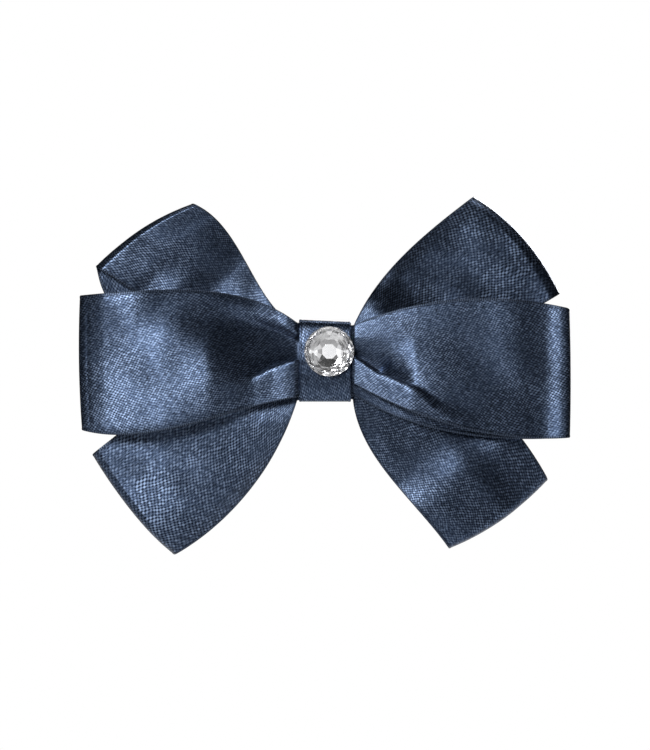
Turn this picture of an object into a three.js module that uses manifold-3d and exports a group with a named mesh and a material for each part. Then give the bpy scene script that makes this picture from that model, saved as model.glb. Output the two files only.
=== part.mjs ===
// Cheer hair bow on a hinged barrette, in millimetres.
// +Z is up as worn, the bow faces -Y, +X is to the right seen from the front,
// and the origin is the middle of the hair that the barrette grips.
import * as THREE from "three";
import { mergeVertices } from "three/addons/utils/BufferGeometryUtils.js";
import Module from "manifold-3d";

const wasm = await Module();
wasm.setup();

// ---- Driving dimensions: the bow ----
const RIBBON_W = 25; // satin ribbon of the loops
const RIBBON_T = 0.35;
const BAND_W = 10; // narrower satin ribbon round the middle
const BAND_T = 0.3;
const PINCH_HALF = 6.9; // half the height that the loops are gathered to
const PINCH_X = 5.4; // half the length that stays gathered, just past the band
const PLEAT_DEPTH = 1.2; // room that the front ribbon's pleats take under the band
const THREAD_R = 0.2;
const THREAD_TURNS = 4;
const STONE_R = 4.83; // flat-backed crystal
const STONE_H = 3.2;
const STONE_FACETS = 16;
const STONE_X = 0.8; // the stone sits a little right of the middle and above it
const STONE_Z = 1.85;
const FOIL_R = 4.25;
const FOIL_T = 0.1;
const STONE_GLUE_R = 3.6;
const STONE_GLUE_T = 0.25;
const PAD_HALF_X = 8; // bead of hot-melt glue between the gathers and the plate
const PAD_HALF_Z = 3.4;

// ---- Driving dimensions: the barrette ----
const PLATE_T = 0.6;
const PLATE_BACK_Y = -4;
const PLATE_HALF_W = 4;
const PLATE_END_X = 31;
const PLATE_CORNER_R = 1.5;
const GLUE_HOLE_X = 15; // holes in the plate that the glue can key into
const GLUE_HOLE_R = 1;
const PIN_X = -29;
const PIN_R = 0.6;
const PIN_HEAD_R = 1.05;
const PIN_HEAD_T = 0.4;
const EAR_R = 1.7;
const ARM_FRONT_Y = 3.4;
const ARM_END_X = 31.5;
const ARM_NECK_X = -25.5;
const ARM_SHOULDER = 1.5; // length over which the arm widens from its neck
const ARM_EAR_Z = 2.85;
const ARM_EAR_T = 0.5;
const ARM_EAR_R = 1.5;
const ARM_SLOT_FROM_X = -18;
const ARM_SLOT_TO_X = 17;
const ARM_SLOT_HALF_W = 1.4;
const ARM_LIP_H = 1;
const ARM_LIP_T = 0.5;
const LEAF_EYE_R = 1.25;
const LEAF_EYE_CLEAR = 0.15;
const LEAF_EYE_W = 4.4;
const LEAF_W = 4;
const LATCH_X = 27;
const LATCH_LENGTH = 5;
const SADDLE_HALF_W = 1.6;
const SADDLE_T = 0.5;
const RIVET_HEAD_R = 1.1;
const RIVET_HEAD_T = 0.35;
const WING_INNER_Z = 1.9;
const WING_T = 0.4;
const WING_TIP_Y = 6;
const BARB_Z = 2.8;
const SPRING_T = 0.4;
const WINDOW_CLEAR = 0.5; // room round the prongs in the arm's window
const JOIN = 0.05; // how far shapes of one piece reach into each other

// ---- Where each layer lies at the knot, from the plate forwards ----
const PLATE_FRONT_Y = PLATE_BACK_Y - PLATE_T;
const LAYER_PITCH = 0.6;
const CLEAR = 0.1;
const WIDE_CLEAR = 0.15;
const PAD_ROOM = 1.3;
const GLUE_FRONT_Y = PLATE_FRONT_Y - PAD_ROOM;
const THREAD_BACK_Y = GLUE_FRONT_Y - WIDE_CLEAR - THREAD_R;
const FIRST_LAYER_Y = THREAD_BACK_Y - THREAD_R - CLEAR - RIBBON_T / 2;
const layerY = (n) => FIRST_LAYER_Y - n * LAYER_PITCH;
const THREAD_FRONT_Y = layerY(5) - RIBBON_T / 2 - PLEAT_DEPTH - CLEAR - THREAD_R;
const BAND_FRONT_Y = THREAD_FRONT_Y - THREAD_R - WIDE_CLEAR;
const BAND_BACK_Y = PLATE_BACK_Y + 0.2;
const BAND_HALF_H = PINCH_HALF + 2 * THREAD_R + 0.3;

// ---- Materials ----
const cloth = (colour) =>
  new THREE.MeshStandardMaterial({ color: colour, roughness: 0.45, metalness: 0 });
const steel = (colour) =>
  new THREE.MeshStandardMaterial({ color: colour, roughness: 0.3, metalness: 1 });
const glue = () =>
  new THREE.MeshStandardMaterial({ color: 0xd9d4c4, roughness: 0.5, metalness: 0 });

// ---- Geometry helpers ----
const radians = THREE.MathUtils.degToRad;
const { lerp, smoothstep } = THREE.MathUtils;

function solid(geometry) {
  const bare = geometry.index ? geometry.toNonIndexed() : geometry.clone();
  bare.deleteAttribute("normal");
  bare.deleteAttribute("uv");
  const merged = mergeVertices(bare, 1e-4);
  return new wasm.Manifold(
    new wasm.Mesh({
      numProp: 3,
      vertProperties: merged.attributes.position.array,
      triVerts: new Uint32Array(merged.index.array),
    }),
  );
}

function geometryOf(manifold) {
  const { vertProperties, triVerts } = manifold.getMesh();
  return new THREE.BufferGeometry()
    .setAttribute("position", new THREE.BufferAttribute(vertProperties, 3))
    .setIndex(new THREE.BufferAttribute(triVerts, 1));
}

const shapeOf = (points) => new THREE.Shape(points.map(([a, b]) => new THREE.Vector2(a, b)));

const rectangle = (x0, y0, x1, y1) =>
  shapeOf([
    [x0, y0],
    [x1, y0],
    [x1, y1],
    [x0, y1],
  ]);

function circle(x, y, r) {
  const ring = new THREE.Shape();
  ring.absarc(x, y, r, 0, 2 * Math.PI, false);
  return ring;
}

const extrude = (shape, depth, curveSegments = 10) =>
  new THREE.ExtrudeGeometry(shape, { depth, bevelEnabled: false, curveSegments });

// A shape drawn in X and Z, with its thickness along Y.
const plateAcrossY = (shape, y0, thickness, segments) =>
  extrude(shape, thickness, segments)
    .rotateX(Math.PI / 2)
    .translate(0, y0 + thickness, 0);

// A shape drawn in Y and Z, with its length along X.
function barAlongX(shape, x0, length, segments) {
  const turn = new THREE.Matrix4().makeBasis(
    new THREE.Vector3(0, 1, 0),
    new THREE.Vector3(0, 0, 1),
    new THREE.Vector3(1, 0, 0),
  );
  return extrude(shape, length, segments).applyMatrix4(turn).translate(x0, 0, 0);
}

// A shape drawn in X and Y, with its height along Z, centred on z.
const slabAlongZ = (shape, z, height, segments) =>
  extrude(shape, height, segments).translate(0, 0, z - height / 2);

// A round bar along Y from y0 to y1.
const rodAlongY = (x, z, r, y0, y1, sides = 20) =>
  new THREE.CylinderGeometry(r, r, y1 - y0, sides).translate(x, (y0 + y1) / 2, z);

// A round bar along Z from z0 to z1, centred on the hinge axis.
const rodAlongHinge = (r, z0, z1, sides = 20) =>
  new THREE.CylinderGeometry(r, r, z1 - z0, sides)
    .rotateX(Math.PI / 2)
    .translate(PIN_X, 0, (z0 + z1) / 2);

const union = (...parts) => parts.map(solid).reduce((a, b) => a.add(b));

// ---- Ribbon loops ----
// A lobe runs from the gathers to its outer fold. fold gives the fold's middle in X and Z,
// out the direction that the ribbon meets it in, knot the gathered edges' heights, and
// start the directions in which the two edges leave the gathers (upper edge first).
const LOBES = {
  front_left: { side: -1, fold: [-46.8, -0.35], out: 183, knot: [6.9, -6.9], start: [150, 187] },
  front_right: { side: 1, fold: [46.75, -2.3], out: -4, knot: [6.3, -4.2], start: [19, -27] },
  upper_left: { side: -1, fold: [-35.1, 24.5], out: 122.7, knot: [6.6, -6.6], start: [122, 175] },
  upper_right: { side: 1, fold: [36.6, 22.1], out: 40.5, knot: [6.6, -6.6], start: [68, 20] },
  lower_left: { side: -1, fold: [-36.7, -27.3], out: 219.5, knot: [6.6, -6.6], start: [195, 245] },
  lower_right: { side: 1, fold: [33.8, -29.7], out: -55.5, knot: [6.6, -6.6], start: [-10, -72] },
};

// The point of a lobe at a share u of its length and t across it (1 upper, -1 lower edge).
function lobePoint(lobe, u, t) {
  const out = radians(lobe.out);
  const across = lobe.side * (RIBBON_W / 2) * t;
  const end = [lobe.fold[0] - across * Math.sin(out), lobe.fold[1] + across * Math.cos(out)];
  const upper = (t + 1) / 2;
  const begin = [lobe.side * PINCH_X, lerp(lobe.knot[1], lobe.knot[0], upper)];
  const angle = radians(lerp(lobe.start[1], lobe.start[0], upper));
  const pull = Math.hypot(end[0] - begin[0], end[1] - begin[1]);
  const u2 = u * u;
  const u3 = u2 * u;
  return [0, 1].map((k) => {
    const leave = pull * (k ? Math.sin(angle) : Math.cos(angle));
    const arrive = pull * (k ? Math.sin(out) : Math.cos(out));
    return (
      (2 * u3 - 3 * u2 + 1) * begin[k] +
      (u3 - 2 * u2 + u) * leave +
      (3 * u2 - 2 * u3) * end[k] +
      (u3 - u2) * arrive
    );
  });
}

// Depth of a ribbon's front or back layer at a distance along the lobe.
const layerDepth = (layer, distance) =>
  lerp(layer.knot, layer.open, smoothstep(distance, layer.from, layer.to));

const LOBE_STEPS = 8;
const ROLL_STEPS = 6;
const ACROSS_STEPS = 6;

// The middle surface of one layer of a lobe, as rows across the ribbon from knot to fold.
function lobeRows(lobe, ribbon, layer) {
  const length = Math.hypot(...lobe.fold);
  const flat = length - ribbon.roll;
  const foldY = (ribbon.front.open + ribbon.back.open) / 2;
  const rows = [];
  const addRow = (distance, y) => {
    const row = [];
    for (let j = 0; j <= ACROSS_STEPS; j++) {
      const [x, z] = lobePoint(lobe, distance / length, (2 * j) / ACROSS_STEPS - 1);
      row.push(new THREE.Vector3(x, y, z));
    }
    rows.push(row);
  };
  for (let i = 0; i <= LOBE_STEPS; i++) {
    const distance = (flat * i) / LOBE_STEPS;
    addRow(distance, layerDepth(layer, distance));
  }
  for (let i = 1; i < ROLL_STEPS; i++) {
    const angle = (Math.PI / 2) * (i / ROLL_STEPS);
    const y = foldY + (layerDepth(layer, flat) - foldY) * Math.cos(angle);
    addRow(flat + ribbon.roll * Math.sin(angle), y);
  }
  return rows;
}

function foldRow(lobe, ribbon) {
  const y = (ribbon.front.open + ribbon.back.open) / 2;
  return Array.from({ length: ACROSS_STEPS + 1 }, (_, j) => {
    const [x, z] = lobePoint(lobe, 1, (2 * j) / ACROSS_STEPS - 1);
    return new THREE.Vector3(x, y, z);
  });
}

// A closed band of cloth: rows go once round the loop, each row across the ribbon.
function thickBand(rows, thickness) {
  const count = rows.length;
  const wide = rows[0].length;
  const offset = (i, j, side) => {
    const along = rows[(i + 1) % count][j].clone().sub(rows[(i + count - 1) % count][j]);
    const low = rows[i][Math.max(j - 1, 0)];
    const high = rows[i][Math.min(j + 1, wide - 1)];
    const normal = along.cross(high.clone().sub(low)).normalize();
    return rows[i][j].clone().addScaledVector(normal, (side * thickness) / 2);
  };
  const positions = [];
  const index = [];
  for (let i = 0; i < count; i++)
    for (const side of [1, -1])
      for (let j = 0; j < wide; j++) positions.push(...offset(i, j, side).toArray());
  const vertex = (i, side, j) => ((i % count) * 2 + side) * wide + j;
  const quad = (a, b, c, d) => index.push(a, b, c, a, c, d);
  for (let i = 0; i < count; i++) {
    for (let j = 0; j < wide - 1; j++) {
      quad(vertex(i, 0, j), vertex(i + 1, 0, j), vertex(i + 1, 0, j + 1), vertex(i, 0, j + 1));
      quad(vertex(i, 1, j), vertex(i, 1, j + 1), vertex(i + 1, 1, j + 1), vertex(i + 1, 1, j));
    }
    const last = wide - 1;
    quad(vertex(i, 0, 0), vertex(i, 1, 0), vertex(i + 1, 1, 0), vertex(i + 1, 0, 0));
    quad(vertex(i, 0, last), vertex(i + 1, 0, last), vertex(i + 1, 1, last), vertex(i, 1, last));
  }
  return new THREE.BufferGeometry()
    .setAttribute("position", new THREE.Float32BufferAttribute(positions, 3))
    .setIndex(index);
}

// One ribbon: a flattened loop to each side of the gathers.
function ribbonGeometry(ribbon) {
  const right = LOBES[ribbon.right];
  const left = LOBES[ribbon.left];
  const rows = [
    ...lobeRows(right, ribbon, ribbon.front),
    foldRow(right, ribbon),
    ...lobeRows(right, ribbon, ribbon.back).reverse(),
    ...lobeRows(left, ribbon, ribbon.back),
    foldRow(left, ribbon),
    ...lobeRows(left, ribbon, ribbon.front).reverse(),
  ];
  return thickBand(rows, RIBBON_T);
}

// Layers count forwards from the plate; each opens to its own depth away from the knot,
// and closes to the outer fold over the length given by roll.
const RIBBONS = {
  front_ribbon: {
    left: "front_left",
    right: "front_right",
    roll: 22,
    front: { knot: layerY(5), open: -15.6, from: 0, to: 18 },
    back: { knot: layerY(4), open: -9.8, from: 2, to: 18 },
    colour: 0x3b4b66,
  },
  rear_ribbon_rising: {
    left: "lower_left",
    right: "upper_right",
    roll: 7,
    front: { knot: layerY(3), open: -9.25, from: 4, to: 18 },
    back: { knot: layerY(2), open: -5.4, from: 22, to: 36 },
    colour: 0x34435c,
  },
  rear_ribbon_falling: {
    left: "upper_left",
    right: "lower_right",
    roll: 7,
    front: { knot: layerY(1), open: -9.1, from: 22, to: 36 },
    back: { knot: layerY(0), open: -5.3, from: 8, to: 26 },
    colour: 0x2f3d54,
  },
};

// ---- Knot: thread, band and crystal ----
// Closed outline round the gathers in Y and Z, wide at the front and narrow at the plate.
function knotOutline(frontY, backY, frontHalf, backHalf) {
  const round = 1.6;
  const backRound = 0.6;
  const bulge = 0.4;
  const outline = new THREE.Shape();
  const slopeY = backY - 1.2 * round;
  const slopeHalf = lerp(frontHalf, backHalf, 0.1);
  outline.moveTo(frontY, frontHalf - round);
  outline.lineTo(frontY, -frontHalf + round);
  outline.quadraticCurveTo(frontY, -frontHalf, frontY + round, -frontHalf);
  outline.lineTo(slopeY, -slopeHalf);
  outline.quadraticCurveTo(backY, -backHalf - bulge, backY, -backHalf + backRound);
  outline.lineTo(backY, backHalf - backRound);
  outline.quadraticCurveTo(backY, backHalf + bulge, slopeY, slopeHalf);
  outline.lineTo(frontY + round, frontHalf);
  outline.quadraticCurveTo(frontY, frontHalf, frontY, frontHalf - round);
  return outline;
}

function centreBand() {
  const backHalf = PLATE_HALF_W + 1.1;
  const outer = knotOutline(
    BAND_FRONT_Y - BAND_T,
    BAND_BACK_Y + BAND_T,
    BAND_HALF_H + BAND_T,
    backHalf + BAND_T,
  );
  outer.holes.push(knotOutline(BAND_FRONT_Y, BAND_BACK_Y, BAND_HALF_H, backHalf));
  return barAlongX(outer, -BAND_W / 2, BAND_W, 5);
}

// The thread winds round the gathers on a flat oval, in turns side by side.
class ThreadPath extends THREE.Curve {
  getPoint(share, target = new THREE.Vector3()) {
    const angle = 2 * Math.PI * THREAD_TURNS * share;
    const halfY = (THREAD_BACK_Y - THREAD_FRONT_Y) / 2;
    const halfZ = PINCH_HALF + CLEAR + THREAD_R;
    const squarer = (v) => Math.sign(v) * Math.abs(v) ** 0.12;
    const pitch = 3 * THREAD_R;
    const x = pitch * (THREAD_TURNS * (share - 0.5));
    const y = (THREAD_BACK_Y + THREAD_FRONT_Y) / 2 + halfY * squarer(Math.sin(angle));
    return target.set(x, y, halfZ * squarer(Math.cos(angle)));
  }
}

function gatherThread() {
  const section = new THREE.Shape();
  section.absarc(0, 0, THREAD_R, 0, 2 * Math.PI, false);
  return new THREE.ExtrudeGeometry(section, {
    steps: 28 * THREAD_TURNS,
    extrudePath: new ThreadPath(),
    curveSegments: 3,
    bevelEnabled: false,
  });
}

const STONE_GLUE_FRONT_Y = BAND_FRONT_Y - BAND_T - CLEAR - STONE_GLUE_T;
const FOIL_FRONT_Y = STONE_GLUE_FRONT_Y - CLEAR - FOIL_T;
const STONE_BACK_Y = FOIL_FRONT_Y - CLEAR;

function crystal() {
  const girdleHeight = 0.55;
  const shoulderHeight = 1.9;
  const profile = [
    [0, 0],
    [STONE_R * 0.9, 0],
    [STONE_R, girdleHeight],
    [STONE_R * 0.78, shoulderHeight],
    [STONE_R * 0.42, STONE_H],
    [0, STONE_H],
  ].map(([r, h]) => new THREE.Vector2(r, h));
  return new THREE.LatheGeometry(profile, STONE_FACETS).rotateX(Math.PI);
}

// ---- Barrette ----
function barretteBase() {
  const outline = new THREE.Shape();
  const left = PIN_X - EAR_R;
  const cornerX = PLATE_END_X - PLATE_CORNER_R;
  const cornerZ = PLATE_HALF_W - PLATE_CORNER_R;
  outline.moveTo(left, -PLATE_HALF_W);
  outline.lineTo(cornerX, -PLATE_HALF_W);
  outline.absarc(cornerX, -cornerZ, PLATE_CORNER_R, -Math.PI / 2, 0, false);
  outline.absarc(cornerX, cornerZ, PLATE_CORNER_R, 0, Math.PI / 2, false);
  outline.lineTo(left, PLATE_HALF_W);
  outline.holes.push(circle(-GLUE_HOLE_X, 0, GLUE_HOLE_R));
  outline.holes.push(circle(GLUE_HOLE_X, 0, GLUE_HOLE_R));
  outline.holes.push(circle(LATCH_X, 0, PIN_R + CLEAR));
  const plate = plateAcrossY(outline, PLATE_FRONT_Y, PLATE_T, 6);
  const ear = new THREE.Shape();
  ear.moveTo(left, PLATE_FRONT_Y);
  ear.lineTo(PIN_X + EAR_R, PLATE_FRONT_Y);
  ear.lineTo(PIN_X + EAR_R, 0);
  ear.absarc(PIN_X, 0, EAR_R, 0, Math.PI, false);
  ear.holes.push(circle(PIN_X, 0, PIN_R + CLEAR));
  const earZ = PLATE_HALF_W - PLATE_T / 2;
  return geometryOf(
    union(plate, slabAlongZ(ear, earZ, PLATE_T), slabAlongZ(ear, -earZ, PLATE_T)),
  );
}

function claspArm() {
  const neckHalf = ARM_EAR_Z + ARM_EAR_T / 2;
  const left = PIN_X - 1;
  const wideX = ARM_NECK_X + ARM_SHOULDER;
  const outline = shapeOf([
    [left, -neckHalf],
    [ARM_NECK_X, -neckHalf],
    [wideX, -PLATE_HALF_W],
    [ARM_END_X, -PLATE_HALF_W],
    [ARM_END_X, PLATE_HALF_W],
    [wideX, PLATE_HALF_W],
    [ARM_NECK_X, neckHalf],
    [left, neckHalf],
  ]);
  const windowHalf = BARB_Z + WIDE_CLEAR;
  const reach = LATCH_LENGTH / 2 + WINDOW_CLEAR;
  const slotHalf = ARM_SLOT_HALF_W;
  outline.holes.push(rectangle(LATCH_X - reach, -windowHalf, LATCH_X + reach, windowHalf));
  outline.holes.push(rectangle(ARM_SLOT_FROM_X, -slotHalf, ARM_SLOT_TO_X, slotHalf));
  const web = plateAcrossY(outline, ARM_FRONT_Y, PLATE_T);
  const lip = (z) =>
    new THREE.BoxGeometry(ARM_END_X - wideX, ARM_LIP_H + 2 * JOIN, ARM_LIP_T).translate(
      (ARM_END_X + wideX) / 2,
      ARM_FRONT_Y - ARM_LIP_H / 2 + JOIN,
      z,
    );
  const earTopY = ARM_FRONT_Y + 2 * JOIN;
  const ear = new THREE.Shape();
  ear.moveTo(PIN_X + ARM_EAR_R, 0);
  ear.lineTo(ARM_NECK_X, earTopY);
  ear.lineTo(left, earTopY);
  ear.lineTo(left - 0.3, 1);
  ear.absarc(PIN_X, 0, ARM_EAR_R, radians(150), radians(360), false);
  ear.holes.push(circle(PIN_X, 0, PIN_R + CLEAR));
  const lipZ = PLATE_HALF_W - ARM_LIP_T / 2;
  return geometryOf(
    union(
      web,
      lip(lipZ),
      lip(-lipZ),
      slabAlongZ(ear, ARM_EAR_Z, ARM_EAR_T),
      slabAlongZ(ear, -ARM_EAR_Z, ARM_EAR_T),
    ),
  );
}

// A leaf of spring steel: an eye round the pin, then a shallow arch towards the hair.
function tensionBar() {
  const eye = circle(PIN_X, 0, LEAF_EYE_R);
  eye.holes.push(circle(PIN_X, 0, PIN_R + LEAF_EYE_CLEAR));
  const centre = new THREE.CatmullRomCurve3([
    new THREE.Vector3(PIN_X, 1, 0),
    new THREE.Vector3(-25, 2.1, 0),
    new THREE.Vector3(-14, 1.9, 0),
    new THREE.Vector3(-1, 1.65, 0),
    new THREE.Vector3(12, 1.9, 0),
    new THREE.Vector3(22, 2.6, 0),
  ]);
  const middle = centre.getPoints(20);
  const edge = (side) => middle.map((p) => [p.x, p.y + (side * SPRING_T) / 2]);
  const leaf = shapeOf([...edge(-1), ...edge(1).reverse()]);
  return geometryOf(union(slabAlongZ(eye, 0, LEAF_EYE_W), slabAlongZ(leaf, 0, LEAF_W)));
}

function hingePin() {
  const end = PLATE_HALF_W + CLEAR;
  return geometryOf(
    union(
      rodAlongHinge(PIN_R, -end - JOIN, end + JOIN),
      rodAlongHinge(PIN_HEAD_R, end, end + PIN_HEAD_T),
      rodAlongHinge(PIN_HEAD_R, -end - PIN_HEAD_T, -end),
    ),
  );
}

const SADDLE_FRONT_Y = PLATE_BACK_Y + CLEAR;

function latchSaddle() {
  const half = LATCH_LENGTH / 2;
  const outline = rectangle(LATCH_X - half, -SADDLE_HALF_W, LATCH_X + half, SADDLE_HALF_W);
  outline.holes.push(circle(LATCH_X, 0, PIN_R + CLEAR));
  return plateAcrossY(outline, SADDLE_FRONT_Y, SADDLE_T, 6);
}

function latchRivet() {
  const backHead = SADDLE_FRONT_Y + SADDLE_T + CLEAR;
  const frontHead = PLATE_FRONT_Y - CLEAR;
  return geometryOf(
    union(
      rodAlongY(LATCH_X, 0, PIN_R, frontHead - JOIN, backHead + JOIN),
      rodAlongY(LATCH_X, 0, RIVET_HEAD_R, frontHead - RIVET_HEAD_T, frontHead),
      rodAlongY(LATCH_X, 0, RIVET_HEAD_R, backHead, backHead + RIVET_HEAD_T),
    ),
  );
}

// A springy prong with a barb; side is 1 for the upper one and -1 for the lower one.
function latchProng(side) {
  const outer = WING_INNER_Z + WING_T;
  const barbY = ARM_FRONT_Y + PLATE_T + WIDE_CLEAR;
  const rootY = SADDLE_FRONT_Y + 0.2;
  const points = [
    [rootY, WING_INNER_Z],
    [WING_TIP_Y, WING_INNER_Z],
    [WING_TIP_Y, outer],
    [barbY + 1, outer],
    [barbY, BARB_Z],
    [barbY, outer],
    [rootY, outer],
  ].map(([y, z]) => [y, side * z]);
  const outline = shapeOf(side > 0 ? points : points.reverse());
  return barAlongX(outline, LATCH_X - LATCH_LENGTH / 2, LATCH_LENGTH);
}

// ---- Assembly ----
const bow = new THREE.Group();
bow.name = "cheer_hair_bow";

function add(name, geometry, material, position = [0, 0, 0]) {
  const mesh = new THREE.Mesh(geometry, material);
  mesh.name = name;
  mesh.position.set(...position);
  bow.add(mesh);
}

for (const [name, ribbon] of Object.entries(RIBBONS))
  add(name, ribbonGeometry(ribbon), cloth(ribbon.colour));
add("centre_band", centreBand(), cloth(0x3b4b66));
add("gather_thread", gatherThread(), cloth(0x222c3f));

const glass = new THREE.MeshStandardMaterial({ color: 0xe8eef5, roughness: 0.02, metalness: 0 });
const foil = new THREE.MeshStandardMaterial({ color: 0xd8dbe0, roughness: 0.1, metalness: 1 });
const disc = (r, depth) => new THREE.CylinderGeometry(r, r, depth, STONE_FACETS);
const onBand = (y) => [STONE_X, y, STONE_Z];
add("crystal", crystal(), glass, onBand(STONE_BACK_Y));
add("crystal_foil", disc(FOIL_R, FOIL_T), foil, onBand(FOIL_FRONT_Y + FOIL_T / 2));
const stoneGlueY = STONE_GLUE_FRONT_Y + STONE_GLUE_T / 2;
add("crystal_glue", disc(STONE_GLUE_R, STONE_GLUE_T), glue(), onBand(stoneGlueY));

const padDepth = PLATE_FRONT_Y - GLUE_FRONT_Y - WIDE_CLEAR;
const padShape = rectangle(-PAD_HALF_X, -PAD_HALF_Z, PAD_HALF_X, PAD_HALF_Z);
add("mounting_glue", plateAcrossY(padShape, GLUE_FRONT_Y, padDepth), glue());

add("barrette_base", barretteBase(), steel(0xb9bcc0));
add("hinge_pin", hingePin(), steel(0xa7aaae));
add("clasp_arm", claspArm(), steel(0xbfc2c6));
add("tension_bar", tensionBar(), steel(0xc6c9cd));
add("latch_saddle", latchSaddle(), steel(0xb2b5b9));
add("latch_rivet", latchRivet(), steel(0xa7aaae));
add("latch_prong_upper", latchProng(1), steel(0xbfc2c6));
add("latch_prong_lower", latchProng(-1), steel(0xbfc2c6));

export default bow;
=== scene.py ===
"""Cheer hair bow: satin loops, knot band, crystal and hinged barrette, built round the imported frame.

Lengths are in millimetres until a mesh is made, and then in metres, in the frame of the CAD model:
+Z up as worn, the bow faces -Y, and the origin is the middle of the hair that the barrette grips.
"""

import math

import bmesh
import bpy
import numpy as np
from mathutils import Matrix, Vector


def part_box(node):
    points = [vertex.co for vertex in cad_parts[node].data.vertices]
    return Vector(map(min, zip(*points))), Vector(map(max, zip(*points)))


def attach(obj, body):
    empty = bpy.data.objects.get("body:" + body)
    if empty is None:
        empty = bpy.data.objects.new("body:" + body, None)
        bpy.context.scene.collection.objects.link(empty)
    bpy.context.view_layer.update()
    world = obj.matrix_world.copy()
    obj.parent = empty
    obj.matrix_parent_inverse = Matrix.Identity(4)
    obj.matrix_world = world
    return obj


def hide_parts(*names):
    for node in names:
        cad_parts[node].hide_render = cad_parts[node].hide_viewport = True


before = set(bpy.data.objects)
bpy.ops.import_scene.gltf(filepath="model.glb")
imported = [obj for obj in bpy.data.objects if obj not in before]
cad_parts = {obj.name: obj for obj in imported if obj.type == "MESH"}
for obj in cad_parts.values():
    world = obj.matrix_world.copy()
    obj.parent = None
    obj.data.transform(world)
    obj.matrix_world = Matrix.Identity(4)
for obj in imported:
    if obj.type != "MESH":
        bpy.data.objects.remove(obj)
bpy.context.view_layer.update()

MM = 0.001
RIBBON_WIDTH = 25.0
RIBBON_THICK = 0.26
BAND_WIDTH = 10.0
BAND_THICK = 0.26
BAND_CROWN = 0.75  # how far the band's rounded front stands out from its edges
THREAD_RADIUS = 0.2


def box_mm(node):
    """The lowest and highest corner of a CAD node, in millimetres."""
    low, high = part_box(node)
    return np.array(low) / MM, np.array(high) / MM


# ---- Where things lie, read from the frame ----
BAND_LOW, BAND_HIGH = box_mm("centre_band")
THREAD_LOW, THREAD_HIGH = box_mm("gather_thread")
CRYSTAL_LOW, CRYSTAL_HIGH = box_mm("crystal")
FOIL_LOW, FOIL_HIGH = box_mm("crystal_foil")
GLUE_LOW, GLUE_HIGH = box_mm("crystal_glue")
PAD_LOW, PAD_HIGH = box_mm("mounting_glue")
BOW_FRONT_Y = box_mm("front_ribbon")[0][1] + 0.175  # the front of the open loops

PINCH_X = 5.4  # the gathers end here, on each side of the knot
LAYER_PITCH = 0.6
FIRST_LAYER_Y = THREAD_HIGH[1] - 2 * THREAD_RADIUS - 0.275  # just inside the thread


def layer_y(number):
    """Depth of a gathered layer at the knot, counted forwards from the one next to the plate."""
    return FIRST_LAYER_Y - number * LAYER_PITCH


# ---- Curves through chosen points ----
def smoothstep(x, low, high):
    """From 0 at low to 1 at high, level at both."""
    share = np.clip((np.asarray(x, float) - low) / (high - low), 0, 1)
    return share * share * (3 - 2 * share)


def hermite(start, leaving, end, arriving, share):
    """A cubic curve between two values with the given slopes, at a share of the way."""
    square, cube = share * share, share * share * share
    return (
        (2 * cube - 3 * square + 1) * start
        + (cube - 2 * square + share) * leaving
        + (3 * square - 2 * cube) * end
        + (cube - square) * arriving
    )


def squarer(value, power):
    """A sine or cosine with its rounds pressed flatter as power falls below 1."""
    return np.sign(value) * np.abs(value) ** power


def through(xs, ys, x):
    """A smooth curve through the points (xs, ys) that never passes beyond them, at x."""
    xs, ys, x = (np.asarray(v, float) for v in (xs, ys, x))
    step = np.diff(xs)
    slope = np.diff(ys) / step
    tangent = np.zeros(len(xs))
    tangent[0], tangent[-1] = slope[0], slope[-1]
    same = slope[:-1] * slope[1:] > 0
    inner = 2 * slope[:-1] * slope[1:] / np.where(same, slope[:-1] + slope[1:], 1)
    tangent[1:-1] = np.where(same, inner, 0)
    x = np.clip(x, xs[0], xs[-1])
    k = np.clip(np.searchsorted(xs, x, side="right") - 1, 0, len(step) - 1)
    share = (x - xs[k]) / step[k]
    return hermite(ys[k], step[k] * tangent[k], ys[k + 1], step[k] * tangent[k + 1], share)


RIPPLE_WAVES = 5


def ripple(u, v, seed, size):
    """Slow uneven waves from -1 to 1. Their lengths are about size, in millimetres."""
    rng = np.random.default_rng(seed)
    total = 0
    for _ in range(RIPPLE_WAVES):
        angle, phase = rng.uniform(0, 2 * math.pi, 2)
        wave = size * rng.uniform(0.7, 1.6)
        across = u * math.cos(angle) + v * math.sin(angle)
        total = total + np.sin(2 * math.pi * across / wave + phase)
    return total / RIPPLE_WAVES


# ---- The shape of each loop ----
# A loop's two edges run from the gathers to the outer fold. For the upper and the lower edge:
# height at the knot, direction in which it leaves, its corner at the fold in X and Z, and the
# direction in which it arrives, both in degrees. lower_back is the back layer's own lower edge,
# where it differs. bulge is how far the fold's middle stands out past its corners.
LOBES = {
    "front_left": dict(
        side=-1, bulge=0.4,
        upper=(7.4, 142, (-47.0, 12.6), 184), lower=(-6.9, 189, (-46.6, -13.3), 166),
    ),
    "front_right": dict(
        side=1, bulge=0.2,
        upper=(6.9, 24, (46.9, 10.1), -14), lower=(-4.2, -30, (47.0, -14.7), 5),
        lower_back=(-6.4, -33, (47.0, -14.7), 5),
    ),
    "upper_left": dict(
        side=-1, bulge=1.3,
        upper=(6.6, 150, (-25.6, 30.6), 158), lower=(-6.6, 172, (-44.7, 18.4), 152),
        lower_back=(-6.6, 172, (-44.7, 18.4), 97),
    ),
    "upper_right": dict(
        side=1, bulge=1.8,
        upper=(6.6, 67, (29.3, 32.5), 37), lower=(-6.6, 20, (45.9, 13.2), 31),
    ),
    "lower_left": dict(
        side=-1, bulge=0.9,
        upper=(6.6, 195, (-45.3, -18.1), 218), lower=(-7.6, 253, (-29.6, -38.0), 209),
    ),
    "lower_right": dict(
        side=1, bulge=1.3,
        upper=(6.6, -10, (43.4, -23.0), -62), lower=(-7.4, -84, (24.1, -36.4), -55),
    ),
}


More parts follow.
